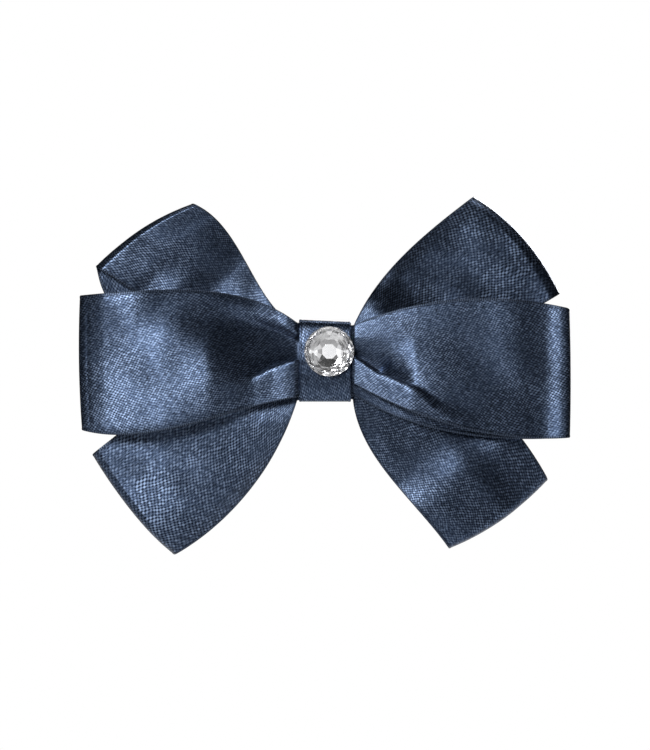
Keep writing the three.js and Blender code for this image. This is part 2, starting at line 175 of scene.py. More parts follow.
def lobe_length(lobe):
    """Distance from the knot's middle to the middle of the fold."""
    return math.hypot(*np.mean([lobe["upper"][2], lobe["lower"][2]], axis=0))


def lobe_point(lobe, face, u, t):
    """X and Z of a layer of a lobe, at a share u of its length and t across it, 1 at the top."""
    high = lobe["upper"]
    low = lobe.get("lower_back", lobe["lower"]) if face == "back" else lobe["lower"]
    share = (t + 1) / 2
    blend = lambda k: low[k] + (high[k] - low[k]) * share
    corner_low, corner_high = np.array(low[2]), np.array(high[2])
    span = corner_high - corner_low
    edge = span / np.linalg.norm(span)
    outwards = np.array([edge[1], -edge[0]]) * lobe["side"]
    swell = lobe["bulge"] * (1 - t * t)
    begin = (lobe["side"] * PINCH_X + 0 * t, blend(0))
    end = [corner_low[k] + span[k] * share + swell * outwards[k] for k in (0, 1)]
    leave, arrive = np.radians(blend(1)), np.radians(blend(3))
    pull = np.hypot(end[0] - begin[0], end[1] - begin[1])
    x = hermite(begin[0], pull * np.cos(leave), end[0], pull * np.cos(arrive), u)
    z = hermite(begin[1], pull * np.sin(leave), end[1], pull * np.sin(arrive), u)
    return x, z


# The front ribbon's pleats are lines that run out from the knot. At each share of the lobe's length
# in ALONG, a line has its place across the ribbon, from -1 at the lower edge to 1 at the upper, its
# height in front of the gathered layer, and its lift in Z.
ALONG = (0, 0.04, 0.12, 0.2, 0.3, 0.42, 0.6, 0.75, 0.88, 0.96)
LEVEL = (0,) * len(ALONG)
LOWER_EDGE = (-1,) * len(ALONG)
UPPER_EDGE = (1,) * len(ALONG)
PLEATS = {
    "front_left": [
        (LOWER_EDGE, (2.9, 2.9, 2.7, 2.7, 3.3, 4.5, 4.9, 4.45, 3.85, 3.1), LEVEL),
        (
            (-0.2, -0.28, -0.44, -0.62, -0.76, -0.84, -0.88, -0.9, -0.9, -0.9),
            (3.6, 3.6, 3.3, 3.3, 4.3, 5.2, 5.3, 4.85, 4.25, 3.5),
            (1.3, 1.3, 1.2, 1.0, 0.5, 0.1, 0, 0, 0, 0),
        ),
        (
            (-0.1, -0.14, -0.26, -0.4, -0.5, -0.42, -0.4, -0.4, -0.4, -0.4),
            (0, 0.3, 1.3, 2.8, 4.9, 5.8, 5.5, 4.85, 4.25, 3.5),
            (0.3, 0.3, 0.3, 0.2, 0.1, 0, 0, 0, 0, 0),
        ),
        (
            (0.2, 0.2, 0.18, 0.12, 0.1, 0.16, 0.2, 0.2, 0.2, 0.2),
            (0, 0.2, 0.9, 2.0, 3.6, 5.3, 5.7, 5.15, 4.45, 3.6),
            LEVEL,
        ),
        (
            (0.5, 0.52, 0.55, 0.56, 0.57, 0.58, 0.6, 0.6, 0.6, 0.6),
            (0.1, 0.3, 0.8, 1.4, 2.6, 4.1, 5.3, 5.5, 4.8, 3.85),
            LEVEL,
        ),
        (
            (0.72, 0.74, 0.76, 0.8, 0.85, 0.9, 0.9, 0.9, 0.9, 0.9),
            (3.5, 3.5, 3.2, 3.1, 3.5, 4.2, 5.0, 5.7, 5.25, 4.25),
            LEVEL,
        ),
        (UPPER_EDGE, (3.2, 3.2, 2.9, 2.8, 3.1, 3.8, 4.7, 5.6, 5.3, 4.35), LEVEL),
    ],
    "front_right": [
        (LOWER_EDGE, (2.2, 2.4, 3.0, 3.8, 4.6, 4.7, 4.1, 3.6, 3.1, 3.5), LEVEL),
        (
            (-0.2, -0.3, -0.52, -0.57, -0.64, -0.84, -0.93, -0.93, -0.93, -0.93),
            (2.5, 2.8, 3.4, 4.2, 5.1, 4.9, 4.1, 3.7, 3.1, 3.5),
            (0.6, 0.6, 0.7, 0.6, 0.4, 0, 0, 0, 0, 0),
        ),
        (
            (-0.08, -0.18, -0.4, -0.45, -0.52, -0.68, -0.7, -0.7, -0.7, -0.7),
            (0, 0, 0, 1.6, 3.5, 4.1, 3.9, 3.6, 3.1, 3.5),
            LEVEL,
        ),
        (
            (0.24, 0.2, 0.14, 0.06, 0, -0.1, -0.2, -0.2, -0.2, -0.2),
            (1.2, 1.3, 1.7, 2.6, 3.35, 3.4, 3.4, 3.4, 3.1, 3.5),
            LEVEL,
        ),
        (
            (0.6, 0.54, 0.48, 0.46, 0.46, 0.5, 0.5, 0.5, 0.5, 0.5),
            (2.5, 2.6, 2.75, 2.9, 3.05, 3.1, 3.2, 3.4, 3.1, 3.5),
            LEVEL,
        ),
        (UPPER_EDGE, (2.2, 2.3, 2.45, 2.6, 2.85, 2.95, 3.1, 3.3, 3.1, 3.5), LEVEL),
    ],
}

# A rear loop lies against the front ribbon near the knot, and beyond it curls and leans back. Each of
# its lines has a place across the ribbon and, at each share of the length in REAR_ALONG, how far it
# stands in front of the open loop. Most stand behind it, so they are below zero.
REAR_ALONG = (0, 0.2, 0.35, 0.5, 0.65, 0.8, 1)
REAR_PLEATS = {
    "lower_left": [
        (-1, (0, -2.5, -5.6, -7.4, -8.0, -7.6, -7.0)),
        (-0.7, (0, -0.8, -2.2, -3.3, -3.8, -3.9, -4.0)),
        (-0.4, (0, 0, -0.8, -1.7, -2.3, -2.6, -2.7)),
        (-0.1, (0, 0, -0.5, -1.3, -1.9, -2.4, -2.5)),
        (0.3, (0, 0, -0.5, -1.4, -2.0, -2.5, -2.6)),
        (0.6, (0, 0, -0.5, -1.3, -1.9, -2.3, -2.4)),
        (1, (0, 0, -0.4, -1.1, -1.6, -2.0, -2.1)),
    ],
    "upper_right": [
        (-1, (0, -0.6, -2.1, -2.9, -3.3, -3.6, -4.0)),
        (0, (0, -0.8, -2.2, -3.0, -3.5, -3.9, -4.4)),
        (0.7, (0, -1.4, -3.0, -4.0, -4.8, -5.4, -6.0)),
        (1, (0, -2.8, -5.0, -6.8, -7.8, -8.2, -8.4)),
    ],
    "upper_left": [
        (-1, (0, 0, 0, -0.6, -1.3, -2.5, -2.4)),
        (-0.5, (0, 0, 0, -0.6, -1.3, -2.5, -2.4)),
        (0, (0, 0, 0, -0.4, -0.8, -1.4, -1.3)),
        (0.5, (0, 0, -0.1, -0.3, -0.6, -1.0, -0.7)),
        (1, (0, -0.3, -0.6, -0.8, -1.1, -1.4, -1.0)),
    ],
    "lower_right": [
        (-1, (0, -0.8, -0.7, -0.6, -0.9, -1.3, -1.8)),
        (-0.6, (0, 0, 0, -0.1, -0.4, -0.8, -1.3)),
        (0, (0, 0, 0, 0.1, -0.2, -0.8, -1.3)),
        (0.5, (0, 0, 0, -0.7, -1.8, -2.1, -2.4)),
        (1, (0, 0, 0, -0.7, -1.8, -2.1, -2.4)),
    ],
}

# Each ribbon makes two loops. A layer has its depth at the knot and in the open loop, and opens between
# the distances start and full from the knot. The front ribbon's front layer follows its pleats instead.
# A fold has its depth, the length over which the layers close to it, and the power of that curve.
RIBBONS = {
    "front_ribbon": dict(
        left="front_left", right="front_right", seed=11,
        front=dict(knot=layer_y(5)),
        back=dict(knot=layer_y(4), open=-9.8, start=2, full=18),
        fold=dict(left=(-11.8, 3.0, 2.2), right=(-11.5, 1.1, 2.2)),
    ),
    "rear_ribbon_rising": dict(
        left="lower_left", right="upper_right", seed=23,
        front=dict(knot=layer_y(3), open=-9.25, start=4, full=18),
        back=dict(knot=layer_y(2), open=-5.4, start=22, full=36),
        fold=dict(left=(-6.6, 1.8, 2.2), right=(-6.6, 2.4, 2.2)),
    ),
    "rear_ribbon_falling": dict(
        left="upper_left", right="lower_right", seed=37,
        front=dict(knot=layer_y(1), open=-9.1, start=22, full=36),
        back=dict(knot=layer_y(0), open=-5.3, start=8, full=26),
        fold=dict(left=(-6.6, 1.6, 2.2), right=(-6.6, 1.6, 2.2)),
    ),
}

SELVAGE_STEPS = (0, 0.05, 0.13, 0.25, 0.4, 0.5, 0.62, 0.8, 1.1)  # the mesh is finer this near an edge
CELL = 0.55  # the size of the cloth's other faces
ROLL_ROWS = 34
KNOT_ROWS = 27
RIPPLE_DEPTH = 0.1
RIPPLE_SIZE = 9
RIPPLE_START = (3, 14)  # the waves grow between these distances from the knot
LEAN_START = (4, 18)  # and a rear loop's lean between these
LEAN_CLEAR = (7, 11)  # and between these heights above or below the middle of the bow


def across_ribbon(width):
    """Places across a ribbon, in millimetres from its middle, closer together at the edges."""
    left = [step - width / 2 for step in SELVAGE_STEPS]
    inner = np.linspace(left[-1], -left[-1], int((width - 2 * SELVAGE_STEPS[-1]) / CELL))
    right = [-place for place in left[:-1]][::-1]
    return np.array(left[:-1] + list(inner) + right)


def pleat_height(lines, u, t):
    """Height and lift of the front ribbon's pleats along one row."""
    place, height, lift = ([through(ALONG, line[k], u) for line in lines] for k in range(3))
    return through(place, height, t), through(place, lift, t)


def lean(lobe_name, distance, u, t, z):
    """How far a rear loop stands back along one row, where the front ribbon leaves it clear."""
    if lobe_name not in REAR_PLEATS:
        return 0 * t
    lines = REAR_PLEATS[lobe_name]
    heights = [through(REAR_ALONG, height, u) for _, height in lines]
    clear = smoothstep(np.abs(z), *LEAN_CLEAR) * smoothstep(distance, *LEAN_START)
    return -clear * through([place for place, _ in lines], heights, t)


def layer_row(lobe_name, ribbon, face, distance, u, t):
    """One row of a layer before it closes to the fold: X, Y and Z across the ribbon."""
    layer = ribbon[face]
    x, z = lobe_point(LOBES[lobe_name], face, u, t)
    if face == "front" and lobe_name in PLEATS:
        height, lift = pleat_height(PLEATS[lobe_name], u, t)
        return x, layer["knot"] - height, z + lift
    opened = smoothstep(distance, layer["start"], layer["full"])
    y = layer["knot"] + (layer["open"] - layer["knot"]) * opened
    return x, y + lean(lobe_name, distance, u, t, z), z


def fold_of(lobe_name, ribbon):
    """Depth of a loop's fold, the length over which its layers close to it, and the power."""
    return ribbon["fold"]["left" if LOBES[lobe_name]["side"] < 0 else "right"]


def fold_row(lobe_name, ribbon, half):
    """The outermost row of a loop, where its front layer turns into its back layer."""
    lobe, t = LOBES[lobe_name], half / (RIBBON_WIDTH / 2)
    x, z = lobe_point(lobe, "front", 1.0, t)
    y = fold_of(lobe_name, ribbon)[0] + lean(lobe_name, lobe_length(lobe), 1.0, t, z)
    return np.stack([x, y, z], axis=1)


def lobe_rows(lobe_name, ribbon, face, half):
    """Rows of one layer of a loop from the knot to just before its fold."""
    length = lobe_length(LOBES[lobe_name])
    fold_y = fold_row(lobe_name, ribbon, half)[:, 1]
    _, roll, power = fold_of(lobe_name, ribbon)
    flat = length - roll
    t = half / (RIBBON_WIDTH / 2)
    turn = math.pi / 2 * np.arange(1, ROLL_ROWS) / ROLL_ROWS
    distances = [*np.linspace(0, flat, int(flat / CELL)), *(flat + roll * np.sin(turn))]
    rows = []
    for distance in distances:
        x, y, z = layer_row(lobe_name, ribbon, face, distance, distance / length, t)
        closing = math.sqrt(1 - max(0.0, (distance - flat) / roll) ** power)
        y = fold_y + (y - fold_y) * closing
        uneven = ripple(x, z, ribbon["seed"] + (face == "back"), RIPPLE_SIZE)
        y = y + RIPPLE_DEPTH * smoothstep(distance, *RIPPLE_START) * closing * uneven
        rows.append(np.stack([x, y, z], axis=1))
    return rows


def between(first, last):
    """Rows that lead from one row to another, without the two, pressed flat under the band."""
    rows = [first + (last - first) * k / KNOT_ROWS for k in range(1, KNOT_ROWS)]
    for row in rows:
        row[:, 1] = np.maximum(row[:, 1], BAND_LOW[1] + BAND_CROWN + 2 * RIBBON_THICK)
    return rows


def ribbon_rows(ribbon, half):
    """Rows once round a ribbon: right loop out and back, behind the knot, left loop, knot."""
    right, left = ribbon["right"], ribbon["left"]
    right_front = lobe_rows(right, ribbon, "front", half)
    right_back = lobe_rows(right, ribbon, "back", half)[::-1]
    left_back = lobe_rows(left, ribbon, "back", half)
    left_front = lobe_rows(left, ribbon, "front", half)[::-1]
    return np.array(
        [
            *right_front,
            fold_row(right, ribbon, half),
            *right_back,
            *between(right_back[-1], left_back[0]),
            *left_back,
            fold_row(left, ribbon, half),
            *left_front,
            *between(left_front[-1], right_front[0]),
        ]
    )


# ---- Meshes ----
def new_object(name, mesh):
    made = bpy.data.objects.new(name, mesh)
    bpy.context.scene.collection.objects.link(made)
    return made


def mesh_object(name, points, faces, uvs=None, smooth=True):
    """An object from points in millimetres, with a UV for each corner of each face, if given."""
    mesh = bpy.data.meshes.new(name)
    mesh.from_pydata((np.asarray(points) * MM).tolist(), [], [list(map(int, f)) for f in faces])
    mesh.polygons.foreach_set("use_smooth", [smooth] * len(mesh.polygons))
    if uvs is not None:
        layer = mesh.uv_layers.new(name="thread_mm")
        layer.data.foreach_set("uv", np.asarray(uvs, np.float32).ravel())
    mesh.validate()
    mesh.update()
    return new_object(name, mesh)


SELVAGE_INSET = (0, 0.13, 0.25, 0.4, 0.62, 0.8, RIBBON_WIDTH)
SELVAGE_SHAPE = (0.45, 1.15, 1.3, 1.25, 0.9, 1, 1)


def selvage_thickness(half, thickness):
    """Cloth thickness across a ribbon: a firm bead on each edge and a thin line inside it."""
    inset = np.abs(half).max() - np.abs(half)
    return thickness * through(SELVAGE_INSET, SELVAGE_SHAPE, inset)


def cloth_skins(rows, half, thickness, closed):
    """Points on the two skins of thick cloth, on both sides of rows of points."""
    ahead = np.roll(rows, -1, axis=0) - np.roll(rows, 1, axis=0)
    if not closed:
        ahead[0], ahead[-1] = rows[1] - rows[0], rows[-1] - rows[-2]
    normal = np.cross(ahead, np.gradient(rows, axis=1))
    normal /= np.maximum(np.linalg.norm(normal, axis=2, keepdims=True), 1e-9)
    offset = normal * (selvage_thickness(half, thickness) / 2)[None, :, None]
    return np.concatenate([(rows + offset).reshape(-1, 3), (rows - offset).reshape(-1, 3)])


# The corners of the cloth's faces: steps along and across from the face's place, and the skin.
TOP = ((0, 0, 0), (1, 0, 0), (1, 1, 0), (0, 1, 0))
UNDERSIDE = ((0, 1, 1), (1, 1, 1), (1, 0, 1), (0, 0, 1))
LEFT_EDGE = ((0, 0, 0), (0, 0, 1), (1, 0, 1), (1, 0, 0))
RIGHT_EDGE = ((0, 0, 0), (1, 0, 0), (1, 0, 1), (0, 0, 1))
FIRST_END = ((0, 0, 0), (0, 1, 0), (0, 1, 1), (0, 0, 1))
LAST_END = ((0, 0, 0), (0, 0, 1), (0, 1, 1), (0, 1, 0))


def cloth_faces(i, j, corners, along, half):
    """Faces of cloth at rows i and columns j, and their UVs."""
    count, wide = len(along) - 1, len(half)
    points = [((i + a) % count + skin * count) * wide + j + b for a, b, skin in corners]
    uvs = [np.stack([along[i + a], half[j + b]], axis=1) for a, b, _ in corners]
    return np.stack(points, axis=1), np.stack(uvs, axis=1)


def cloth_object(name, rows, half, thickness, closed):
    """Thick cloth from rows of points. Its UVs are millimetres along and across the weave."""
    count, wide = rows.shape[:2]
    step = np.linalg.norm(np.diff(rows, axis=0, append=rows[:1]), axis=2).mean(axis=1)
    along = np.concatenate([[0], np.cumsum(step)])
    row, column = np.arange(count if closed else count - 1), np.arange(wide - 1)
    i, j = (a.ravel() for a in np.meshgrid(row, column, indexing="ij"))
    parts = [(i, j, TOP), (i, j, UNDERSIDE)]
    parts += [(row, 0 * row, LEFT_EDGE), (row, 0 * row + wide - 1, RIGHT_EDGE)]
    if not closed:
        parts += [(0 * column, column, FIRST_END), (0 * column + count - 1, column, LAST_END)]
    faces, uvs = zip(*(cloth_faces(*part, along, half) for part in parts))
    points = cloth_skins(rows, half, thickness, closed)
    return mesh_object(name, points, np.concatenate(faces), np.concatenate(uvs).reshape(-1, 2))


def ring_faces(rings, sides):
    """Faces that join rings of points in turn, all with the same number of sides."""
    return [
        [i * sides + k, i * sides + after, (i + 1) * sides + after, (i + 1) * sides + k]
        for i in range(rings - 1)
        for k, after in zip(range(sides), [*range(1, sides), 0])
    ]


def end_faces(rings, sides):
    """The two flat ends of a body made of rings."""
    last = (rings - 1) * sides
    return [list(range(sides))[::-1], [last + k for k in range(sides)]]


def full_turn(count):
    """Angles round a circle."""
    return 2 * math.pi * np.arange(count) / count


# ---- Materials ----
class Graph:
    """A material's nodes, with short calls to add and join them."""

    def __init__(self, name):
        self.material = bpy.data.materials.new(name)
        self.material.use_nodes = True
        self.nodes = self.material.node_tree.nodes
        self.links = self.material.node_tree.links
        self.shader = self.nodes["Principled BSDF"]

    def put(self, value, socket):
        """Join another node's output to a socket, or set the socket's own value."""
        if isinstance(value, bpy.types.NodeSocket):
            self.links.new(value, socket)
        else:
            socket.default_value = value

    def add(self, kind, settings=(), **inputs):
        """A new node. An input's name is given with _ for each space."""
        node = self.nodes.new(kind)
        for name, value in dict(settings).items():
            setattr(node, name, value)
        for name, value in inputs.items():
            self.put(value, node.inputs[name.replace("_", " ")])
        return node

    def math(self, operation, *values):
        node = self.add("ShaderNodeMath", {"operation": operation})
        for value, socket in zip(values, node.inputs):
            self.put(value, socket)
        return node.outputs[0]

    def ramp(self, value, low, high, to_low=0.0, to_high=1.0):
        """A value between low and high, moved smoothly to between to_low and to_high."""
        node = self.add("ShaderNodeMapRange", {"interpolation_type": "SMOOTHSTEP"})
        for part, socket in zip((value, low, high, to_low, to_high), node.inputs):
            self.put(part, socket)
        return node.outputs[0]

    def mix(self, share, first, second):
        """Two colours mixed. Sockets 6 and 7 are the ones that take colours."""
        node = self.add("ShaderNodeMix", {"data_type": "RGBA"})
        for value, socket in zip((share, first, second), (0, 6, 7)):
            self.put(value, node.inputs[socket])
        return node.outputs[2]

    def noise(self, vector, scale, detail=2.0):
        node = self.add("ShaderNodeTexNoise", Vector=vector, Scale=scale, Detail=detail)
        return node.outputs[0]

    def combine(self, x, y, z=0.0):
        return self.add("ShaderNodeCombineXYZ", X=x, Y=y, Z=z).outputs[0]

    def uv(self):
        split = self.add("ShaderNodeSeparateXYZ", Vector=self.add("ShaderNodeUVMap").outputs[0])
        return split.outputs[0], split.outputs[1]

    def place(self):
        """Object coordinates, in metres."""
        return self.add("ShaderNodeTexCoord").outputs["Object"]

    def bump(self, height, depth_mm, strength=1.0):
        node = self.add("ShaderNodeBump", Height=height, Strength=strength, Distance=depth_mm * MM)
        self.put(node.outputs[0], self.shader.inputs["Normal"])

    def set(self, **inputs):
        for name, value in inputs.items():
            self.put(value, self.shader.inputs[name.replace("_", " ")])


def colour(red, green, blue):
    return (red, green, blue, 1.0)


# One navy satin in three tones. SATIN_LIGHT is the painted highlight on glints and float tops, and the
# lighter ticks of the edge. SATIN_DARK is a darker weave tone, the edge's ground, and the painted shade
# between floats and in the groove.
SATIN_DARK = colour(0.005, 0.008, 0.016)
SATIN_MID = colour(0.060, 0.092, 0.165)
SATIN_LIGHT = colour(0.290, 0.385, 0.575)
PICK_PITCH = 0.42  # from one crosswise thread to the next, in millimetres


def satin_lattice(g, u, v, cell):
    """The slanting lattice of tie-down points, and a mask of the points that get a painted glint.

    From one point to the next is one cell along and two across, as in a satin of five threads.
    """
    a = g.math("DIVIDE", g.math("MULTIPLY_ADD", v, 2.0, u), 5 * cell)
    b = g.math("DIVIDE", g.math("SUBTRACT", g.math("MULTIPLY", u, 2.0), v), 5 * cell)
    waves = [g.math("COSINE", g.math("MULTIPLY", place, 2 * math.pi)) for place in (a, b)]
    lattice = g.math("MULTIPLY_ADD", g.math("ADD", *waves), 0.25, 0.5)
    point = g.combine(g.math("ROUND", a), g.math("ROUND", b))
    chance = g.add("ShaderNodeTexWhiteNoise", {"noise_dimensions": "3D"}, Vector=point).outputs[0]
    # Some tie-down points get a painted glint: a lighter colour standing in for light caught by the
    # weave.
    painted_glint_spots = g.math("MULTIPLY", g.ramp(lattice, 0.3, 0.85), g.ramp(chance, 0.2, 0.9, 0.2, 1.0))
    return lattice, painted_glint_spots


def satin_edge(g, v, half_width, edge_width, edge_share):
    """Where the ribbed edge lies, and a mask for the painted shade in the groove just inside it."""
    inset = g.math("SUBTRACT", half_width, g.math("ABSOLUTE", v))
    edge = g.ramp(inset, edge_width - 0.2, edge_width, edge_share, 0.0)
    outer = g.ramp(inset, edge_width - 0.1, edge_width)
    inner = g.ramp(inset, edge_width, edge_width + 0.25, edge_share, 0.0)
    return edge, g.math("MULTIPLY", outer, inner)


def satin(name, half_width, cell, gap_shade, edge_width=0.5, edge_share=0.9):
    """Warp-faced satin: long floats over a slanting lattice of tie-down points, and firm edges.

    cell is the pitch of the threads in millimetres, gap_shade how dark the painted shade
    in the hollows between floats is, and edge_share how much of its own look the edge has.
    """
    g = Graph(name)
    u, v = g.uv()
    flat = g.combine(u, v)
    sway = g.math("MULTIPLY_ADD", g.noise(flat, 0.25), 1.2, -0.6)
    along, across = g.math("MULTIPLY_ADD", u, 0.75, sway), g.math("MULTIPLY_ADD", sway, 0.6, v)
    lattice, painted_glint_spots = satin_lattice(g, along, across, cell)
    stretched = g.combine(g.math("MULTIPLY", along, 1.6), g.math("MULTIPLY", across, 4.6))
    floats = g.noise(stretched, 1.0, 3.0)
    edge, painted_groove_shade = satin_edge(g, v, half_width, edge_width, edge_share)
    pick = g.math("COSINE", g.math("MULTIPLY", u, 2 * math.pi / PICK_PITCH))

    cloudy = g.noise(flat, 0.12, 3.0)
    openness = g.ramp(g.noise(flat, 0.09, 1.0), 0.4, 0.6, 0.35, 1.0)
    # Painted shade in the hollows between floats.
    painted_gap_shade = g.math("MULTIPLY", g.ramp(lattice, 0.15, 0.6, gap_shade, 0.0), openness)
    # Painted glints at the tie-down points, stronger where the weave is open.
    painted_glint = g.math("MULTIPLY", painted_glint_spots, g.math("MULTIPLY_ADD", openness, 0.6, 0.3))
    body = g.mix(g.ramp(cloudy, 0.3, 0.7, 0.6, 0.8), SATIN_DARK, SATIN_MID)
    # Painted shade in the low places of the floats, and painted highlight on their high places.
    body = g.mix(g.ramp(floats, 0.34, 0.52, 0.85, 0.0), body, SATIN_DARK)
    body = g.mix(g.ramp(floats, 0.52, 0.7, 0.0, 0.45), body, SATIN_LIGHT)
    body = g.mix(painted_gap_shade, body, SATIN_DARK)
    body = g.mix(painted_glint, body, SATIN_LIGHT)
    rim = g.mix(g.ramp(pick, -0.4, 0.9, 0.05, 0.32), SATIN_DARK, SATIN_LIGHT)
    body = g.mix(edge, body, rim)
    # Painted shade in the groove just inside the edge.
    body = g.mix(g.math("MULTIPLY", painted_groove_shade, 0.6), body, SATIN_DARK)

    weave = g.math("ADD", g.math("MULTIPLY", lattice, 0.4), g.math("MULTIPLY", floats, 0.8))
    ribs = g.math("MULTIPLY_ADD", pick, 0.35, 0.5)
    plain = g.math("SUBTRACT", 1.0, edge)
    relief = g.math("ADD", g.math("MULTIPLY", weave, plain), g.math("MULTIPLY", ribs, edge))
    g.set(
        Base_Color=body,
        Metallic=0.9,
        Roughness=g.ramp(g.noise(flat, 2.2, 3.0), 0.3, 0.7, 0.38, 0.46),
        Anisotropic=0.7,
        Anisotropic_Rotation=0.25,
        Sheen_Weight=0.02,
        Sheen_Roughness=0.4,
        Tangent=g.add("ShaderNodeTangent", {"direction_type": "UV_MAP"}).outputs[0],
    )
    g.bump(relief, 0.02, 0.8)
    return g.material


def thread_material():
    """Twisted thread, its strands seen as slanting ridges, with painted light on their tops and painted
    shade between them.
    """
    g = Graph("twisted_thread")
    u, v = g.uv()
    twist = g.math("SINE", g.math("ADD", g.math("MULTIPLY", u, 14.0), g.math("MULTIPLY", v, 12.0)))
    fuzz = g.noise(g.combine(u, v), 6.0)
    # Painted light and shade along the twist: lighter on the strand tops, darker between them.
    base = g.mix(g.ramp(twist, -1.0, 1.0), colour(0.006, 0.009, 0.018), colour(0.03, 0.045, 0.08))
    g.set(Base_Color=base, Roughness=g.ramp(fuzz, 0.2, 0.8, 0.5, 0.75), Sheen_Weight=0.2)
    g.bump(g.math("ADD", twist, fuzz), 0.05)
    return g.material


def glass_material():
    """Cut glass, with the least unevenness in its tint and polish."""
    g = Graph("cut_glass")
    haze = g.noise(g.place(), 900.0, 3.0)
    tint = g.mix(haze, colour(0.93, 0.94, 0.96), colour(0.98, 0.98, 0.98))
    g.set(
        Base_Color=tint,
        Roughness=g.ramp(haze, 0.5, 0.9, 0.0, 0.01),
        IOR=1.56,
        Transmission_Weight=1.0,
    )
    return g.material


def foil_material():
    """A silver mirror coat with a faint haze."""
    g = Graph("silver_foil")
    haze = g.noise(g.place(), 600.0, 3.0)
    g.set(
        Base_Color=g.mix(haze, colour(0.78, 0.78, 0.80), colour(0.92, 0.91, 0.89)),
        Metallic=1.0,
        Roughness=g.ramp(haze, 0.3, 0.8, 0.0, 0.04),
    )
    return g.material


def glue_material(name, low, high, see_through):
    """Set glue: cloudy between two tints, softly bumpy, and partly clear."""
    g = Graph(name)
    cloudy = g.noise(g.place(), 350.0, 4.0)
    g.set(
        Base_Color=g.mix(cloudy, low, high),
        Roughness=g.ramp(cloudy, 0.2, 0.8, 0.18, 0.4),
        Transmission_Weight=see_through,
        Subsurface_Weight=0.3,
        Subsurface_Scale=0.002,
        IOR=1.48,
    )
    g.bump(g.noise(g.place(), 900.0, 3.0), 0.05, 0.5)
    return g.material


STEEL_GRAIN = 6000.0  # rolling lines across a metre
STEEL_GRAIN_ALONG = 120.0
SCUFF = colour(0.25, 0.24, 0.23)


def steel_material(name, along, low, high, rough):
    """Plated stampings: fine rolling lines along one axis, with a few scuffs and dull patches."""
    g = Graph(name)
    stretch = tuple(STEEL_GRAIN_ALONG if axis == along else STEEL_GRAIN for axis in "XYZ")
    stretched = g.add("ShaderNodeVectorMath", {"operation": "MULTIPLY"})
    for value, socket in zip((g.place(), stretch), stretched.inputs):
        g.put(value, socket)
    lines = g.noise(stretched.outputs[0], 1.0, 3.0)
    patches = g.noise(g.place(), 220.0, 4.0)
    scuffs = g.ramp(g.noise(g.place(), 1400.0, 6.0), 0.62, 0.72)
    base = g.mix(g.ramp(patches, 0.3, 0.7), low, high)
    base = g.mix(g.math("MULTIPLY", scuffs, 0.25), base, SCUFF)
    rolled = g.ramp(lines, 0.25, 0.75, rough, rough + 0.14)
    roughness = g.math("ADD", rolled, g.math("MULTIPLY", scuffs, 0.15))
    g.set(Base_Color=base, Metallic=1.0, Roughness=roughness, Anisotropic=0.4)
    g.bump(g.math("ADD", lines, g.math("MULTIPLY", scuffs, 0.4)), 0.012, 0.5)
    return g.material


def floor_material():
    g = Graph("pale_floor")
    cloudy = g.noise(g.place(), 6.0, 3.0)
    pale = g.mix(cloudy, colour(0.84, 0.84, 0.84), colour(0.9, 0.9, 0.9))
    g.set(Base_Color=pale, Roughness=0.8)
    return g.material


# ---- Pieces ----
def finish_piece(piece, material, node):
    """Give a piece its material and slot, and put it in the place of a CAD node of the bow."""
    piece.data.materials.append(material)
    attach(piece, "bow")
    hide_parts(node)
    return piece


def make_ribbon(node, material):
    half = across_ribbon(RIBBON_WIDTH)
    rows = ribbon_rows(RIBBONS[node], half)
    piece = cloth_object(node + "_satin", rows, half, RIBBON_THICK, closed=True)
    return finish_piece(piece, material, node)


BAND_OVERLAP = 5.0
BAND_STEP = 0.3
BAND_BACK_HALF = 5.3  # half the band's height behind the plate
BAND_SLOPE = 0.045  # the top edge falls to the right
BAND_RIPPLE = 0.06


def band_outline():
    """Points in Y and Z once round the knot, from the middle of the back and up over the plate."""
    front, back = BAND_LOW[1] + BAND_THICK / 2, BAND_HIGH[1] - BAND_THICK / 2
    half = BAND_HIGH[2] - BAND_THICK / 2
    upper = [
        (back, BAND_BACK_HALF - 1.2), (back - 0.5, BAND_BACK_HALF - 0.2),
        (back - 2, BAND_BACK_HALF + 0.75), (front + 4.2, half - 0.35), (front + 2.2, half - 0.02),
        (front + 1.2, half - 0.25), (front + BAND_CROWN, half - 1.1), (front + 0.42, half - 2.6),
        (front + 0.12, half - 4.6),
    ]
    lower = [(y, -z) for y, z in upper][::-1]
    return [(back, 0), *upper, (front, 0.6), *lower, (back, 0)]


def smoothed(rows, times):
    """Rows with their corners eased, the end rows kept."""
    for _ in range(times):
        rows[1:-1] = (rows[:-2] + 2 * rows[1:-1] + rows[2:]) / 4
    return rows


def band_rows(half):
    """Rows of the knot band: once round the gathers, with a glued overlap at the back."""
    loop = np.array(band_outline())
    reach = np.concatenate([[0], np.cumsum(np.linalg.norm(np.diff(loop, axis=0), axis=1))])
    total = reach[-1]
    middle = (BAND_LOW[1] + BAND_HIGH[1]) / 2
    rows = []
    for place in np.arange(-BAND_OVERLAP / 2, total + BAND_OVERLAP / 2, BAND_STEP):
        y, z = (np.interp(place % total, reach, loop[:, k]) for k in (0, 1))
        lapped = smoothstep(place, total - BAND_OVERLAP, total - BAND_OVERLAP / 2)
        in_front = smoothstep(middle - y, 2, 4)
        y = y + lapped * BAND_THICK * 1.3 - in_front * BAND_RIPPLE * ripple(half, place, 5, 7)
        z = z - BAND_SLOPE * half * smoothstep(z, 2, BAND_HIGH[2])
        rows.append(np.stack([half, y, z], axis=1))
    return smoothed(np.array(rows), 3)


def make_band(material):
    half = across_ribbon(BAND_WIDTH)
    piece = cloth_object("knot_band_satin", band_rows(half), half, BAND_THICK, closed=False)
    return finish_piece(piece, material, "centre_band")


